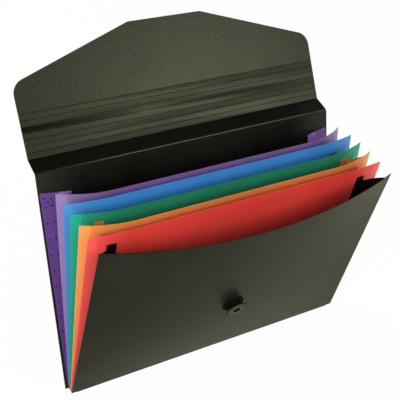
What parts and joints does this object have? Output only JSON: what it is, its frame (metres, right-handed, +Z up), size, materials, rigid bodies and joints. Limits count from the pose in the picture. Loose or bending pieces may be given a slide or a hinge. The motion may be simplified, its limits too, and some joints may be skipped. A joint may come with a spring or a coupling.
{
  "type": "accordion file folder",
  "caption": "Expanding accordion file standing open: a dark plastic cover with a scored pointed flap and coloured dividers joined by folding side gussets.",
  "frame": {"origin": "middle of the base's underside, on the surface that the file stands on", "axes": "+Z up, +X along the base to the right as seen from the front, +Y from the front cover to the back"},
  "size_m": [0.33, 0.2142, 0.3314],
  "materials": {
    "cover": "satin, lightly frosted",
    "purple": "satin, lightly frosted",
    "blue": "satin, lightly frosted",
    "green": "satin, lightly frosted",
    "orange": "satin, lightly frosted",
    "red": "satin, lightly frosted",
    "button": "gloss"
  },
  "bodies": {
    "cover_back": {"base_panel": "cover", "back_panel": "cover"},
    "leaf_purple": {"divider_purple": "purple", "gusset_purple_left": "purple", "gusset_purple_right": "purple"},
    "leaf_blue": {"divider_blue": "blue", "gusset_blue_left": "blue", "gusset_blue_right": "blue"},
    "leaf_green": {"divider_green": "green", "gusset_green_left": "green", "gusset_green_right": "green"},
    "leaf_orange": {"divider_orange": "orange", "gusset_orange_left": "orange", "gusset_orange_right": "orange"},
    "leaf_red": {"divider_red": "red", "gusset_red_left": "red", "gusset_red_right": "red"},
    "front_cover": {"front_panel": "cover", "button_cap": "button", "button_washer": "button", "gusset_front_left": "cover", "gusset_front_right": "cover"},
    "flap_band": {"flap_spine": "cover"},
    "flap_low": {"flap_strip_1": "cover", "flap_strip_2": "cover", "flap_strip_3": "cover"},
    "flap_mid": {"flap_strip_4": "cover", "flap_strip_5": "cover", "flap_strip_6": "cover", "flap_strip_7": "cover"},
    "flap_end": {"flap_panel": "cover"}
  },
  "joints": [
    {"name": "pocket_1_open", "type": "hinge", "parent": "cover_back", "child": "leaf_purple", "pos_m": [0, 0.00283, 0.00095], "axis": [1, 0, 0], "range_deg": [-6.6, 1.56], "deforming": ["gusset_purple_left", "gusset_purple_right"]},
    {"name": "pocket_2_open", "type": "hinge", "parent": "leaf_purple", "child": "leaf_blue", "pos_m": [0, 0.00142, 0.00095], "axis": [1, 0, 0], "range_deg": [-1.82, 0.45], "deforming": ["gusset_blue_left", "gusset_blue_right"]},
    {"name": "pocket_3_open", "type": "hinge", "parent": "leaf_blue", "child": "leaf_green", "pos_m": [0, 0, 0.00095], "axis": [1, 0, 0], "range_deg": [-3.42, 0.82], "deforming": ["gusset_green_left", "gusset_green_right"]},
    {"name": "pocket_4_open", "type": "hinge", "parent": "leaf_green", "child": "leaf_orange", "pos_m": [0, -0.00142, 0.00095], "axis": [1, 0, 0], "range_deg": [-3.62, 0.87], "deforming": ["gusset_orange_left", "gusset_orange_right"]},
    {"name": "pocket_5_open", "type": "hinge", "parent": "leaf_orange", "child": "leaf_red", "pos_m": [0, -0.00283, 0.00095], "axis": [1, 0, 0], "range_deg": [-1.62, 0.4], "deforming": ["gusset_red_left", "gusset_red_right"]},
    {"name": "pocket_6_open", "type": "hinge", "parent": "leaf_red", "child": "front_cover", "pos_m": [0, -0.00425, 0.00095], "axis": [1, 0, 0], "range_deg": [-4.12, 0.99], "deforming": ["gusset_front_left", "gusset_front_right"]},
    {"name": "flap_swing", "type": "hinge", "parent": "cover_back", "child": "flap_band", "pos_m": [0, 0.05494, 0.22591], "axis": [1, 0, 0], "range_deg": [-110, 115]},
    {"name": "flap_foot_crease", "type": "hinge", "parent": "flap_band", "child": "flap_low", "pos_m": [0, 0.0727, 0.23179], "axis": [1, 0, 0], "range_deg": [-20.11, 19.24]},
    {"name": "flap_score_crease", "type": "hinge", "parent": "flap_low", "child": "flap_mid", "pos_m": [0, 0.08097, 0.24795], "axis": [1, 0, 0], "range_deg": [-14.4, 15.05]},
    {"name": "flap_end_crease", "type": "hinge", "parent": "flap_mid", "child": "flap_end", "pos_m": [0, 0.09199, 0.26949], "axis": [1, 0, 0], "range_deg": [-14.4, 15.05]}
  ],
  "couplings": [
    {"joint": "pocket_2_open", "follows": "pocket_1_open", "ratio": 0.2727},
    {"joint": "pocket_3_open", "follows": "pocket_1_open", "ratio": 0.5152},
    {"joint": "pocket_4_open", "follows": "pocket_1_open", "ratio": 0.5455},
    {"joint": "pocket_5_open", "follows": "pocket_1_open", "ratio": 0.2424},
    {"joint": "pocket_6_open", "follows": "pocket_1_open", "ratio": 0.6212},
    {"joint": "flap_foot_crease", "follows": "flap_swing", "ratio": -0.174},
    {"joint": "flap_score_crease", "follows": "flap_swing", "ratio": 0.13},
    {"joint": "flap_end_crease", "follows": "flap_swing", "ratio": 0.13}
  ]
}
